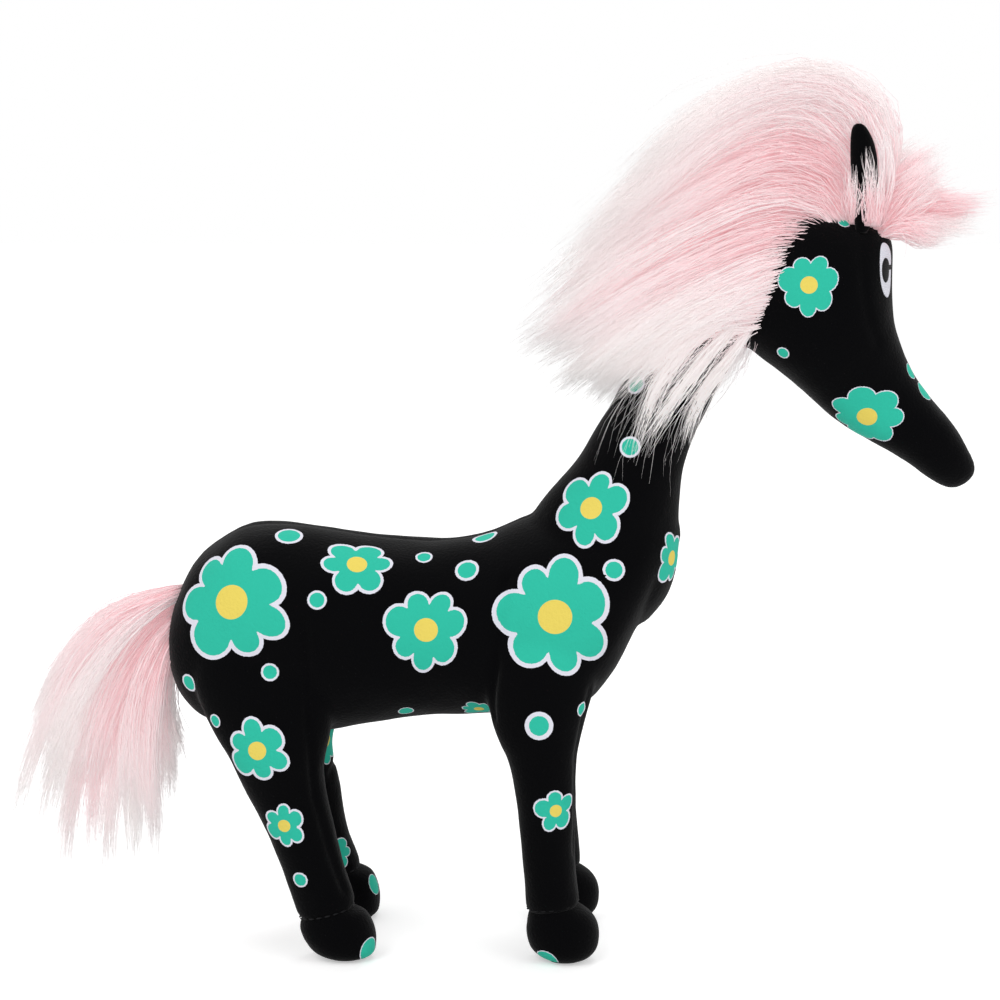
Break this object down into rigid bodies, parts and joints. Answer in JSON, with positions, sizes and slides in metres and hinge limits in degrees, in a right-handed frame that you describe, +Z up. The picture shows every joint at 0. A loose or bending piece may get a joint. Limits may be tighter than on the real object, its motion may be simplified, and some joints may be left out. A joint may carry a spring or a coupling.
{
  "type": "plush horse",
  "caption": "Standing plush horse with a long tapered head, slim legs, black flower-printed covers over stuffing, and a long-pile mane, forelock and tail; sprung neck, head, legs, tail and ears",
  "frame": {"origin": "on the floor, under the middle of the whole toy's length and width", "axes": "+X towards the nose, +Y to the horse's left side, +Z up"},
  "size_m": [0.3797, 0.089, 0.3516],
  "materials": {
    "printed_fabric": "short soft pile with a printed flower pattern",
    "hoof_fabric": "short soft black pile",
    "stuffing": "loose white fibre",
    "pile_hair": "long silky pink pile",
    "white_thread": "satin stitch embroidery",
    "black_thread": "satin stitch embroidery"
  },
  "bodies": {
    "trunk": {"trunk_cover_right": "printed_fabric", "trunk_cover_left": "printed_fabric", "trunk_stuffing": "stuffing"},
    "neck": {"neck_cover_right": "printed_fabric", "neck_cover_left": "printed_fabric", "neck_stuffing": "stuffing", "mane": "pile_hair"},
    "head": {"head_cover_right": "printed_fabric", "head_cover_left": "printed_fabric", "forehead_gusset": "printed_fabric", "head_stuffing": "stuffing", "right_eye_white": "white_thread", "left_eye_white": "white_thread", "right_pupil": "black_thread", "left_pupil": "black_thread", "forelock": "pile_hair"},
    "right_ear": {"right_ear": "printed_fabric"},
    "left_ear": {"left_ear": "printed_fabric"},
    "tail": {"tail": "pile_hair"},
    "hind_right_leg": {"hind_right_leg_cover_outer": "printed_fabric", "hind_right_leg_cover_inner": "printed_fabric", "hind_right_leg_stuffing": "stuffing", "hind_right_hoof": "hoof_fabric", "hind_right_sole": "hoof_fabric"},
    "hind_left_leg": {"hind_left_leg_cover_outer": "printed_fabric", "hind_left_leg_cover_inner": "printed_fabric", "hind_left_leg_stuffing": "stuffing", "hind_left_hoof": "hoof_fabric", "hind_left_sole": "hoof_fabric"},
    "front_right_leg": {"front_right_leg_cover_outer": "printed_fabric", "front_right_leg_cover_inner": "printed_fabric", "front_right_leg_stuffing": "stuffing", "front_right_hoof": "hoof_fabric", "front_right_sole": "hoof_fabric"},
    "front_left_leg": {"front_left_leg_cover_outer": "printed_fabric", "front_left_leg_cover_inner": "printed_fabric", "front_left_leg_stuffing": "stuffing", "front_left_hoof": "hoof_fabric", "front_left_sole": "hoof_fabric"}
  },
  "joints": [
    {"name": "neck_flex", "type": "hinge", "parent": "trunk", "child": "neck", "pos_m": [0.04347, 0, 0.166], "axis": [0, 1, 0], "range_deg": [-8, 8], "stiffness_Nm_per_rad": 1.5},
    {"name": "head_nod", "type": "hinge", "parent": "neck", "child": "head", "pos_m": [0.11047, 0, 0.267], "axis": [0, 1, 0], "range_deg": [-8, 8], "stiffness_Nm_per_rad": 0.6},
    {"name": "tail_lift", "type": "hinge", "parent": "trunk", "child": "tail", "pos_m": [-0.12853, 0, 0.137], "axis": [0, 1, 0], "range_deg": [0, 35], "stiffness_Nm_per_rad": 0.04},
    {"name": "right_ear_fold", "type": "hinge", "parent": "head", "child": "right_ear", "pos_m": [0.14247, -0.0165, 0.2878], "axis": [1, 0, 0], "range_deg": [0, 30], "stiffness_Nm_per_rad": 0.01},
    {"name": "left_ear_fold", "type": "hinge", "parent": "head", "child": "left_ear", "pos_m": [0.14247, 0.0165, 0.2878], "axis": [-1, 0, 0], "range_deg": [0, 30], "stiffness_Nm_per_rad": 0.01},
    {"name": "hind_right_leg_swing", "type": "hinge", "parent": "trunk", "child": "hind_right_leg", "pos_m": [-0.08793, -0.029, 0.092], "axis": [0, 1, 0], "range_deg": [-10, 10], "stiffness_Nm_per_rad": 1},
    {"name": "hind_left_leg_swing", "type": "hinge", "parent": "trunk", "child": "hind_left_leg", "pos_m": [-0.08793, 0.029, 0.092], "axis": [0, 1, 0], "range_deg": [-10, 10], "stiffness_Nm_per_rad": 1},
    {"name": "front_right_leg_swing", "type": "hinge", "parent": "trunk", "child": "front_right_leg", "pos_m": [0.01797, -0.029, 0.099], "axis": [0, 1, 0], "range_deg": [-10, 10], "stiffness_Nm_per_rad": 1},
    {"name": "front_left_leg_swing", "type": "hinge", "parent": "trunk", "child": "front_left_leg", "pos_m": [0.01797, 0.029, 0.099], "axis": [0, 1, 0], "range_deg": [-10, 10], "stiffness_Nm_per_rad": 1}
  ]
}
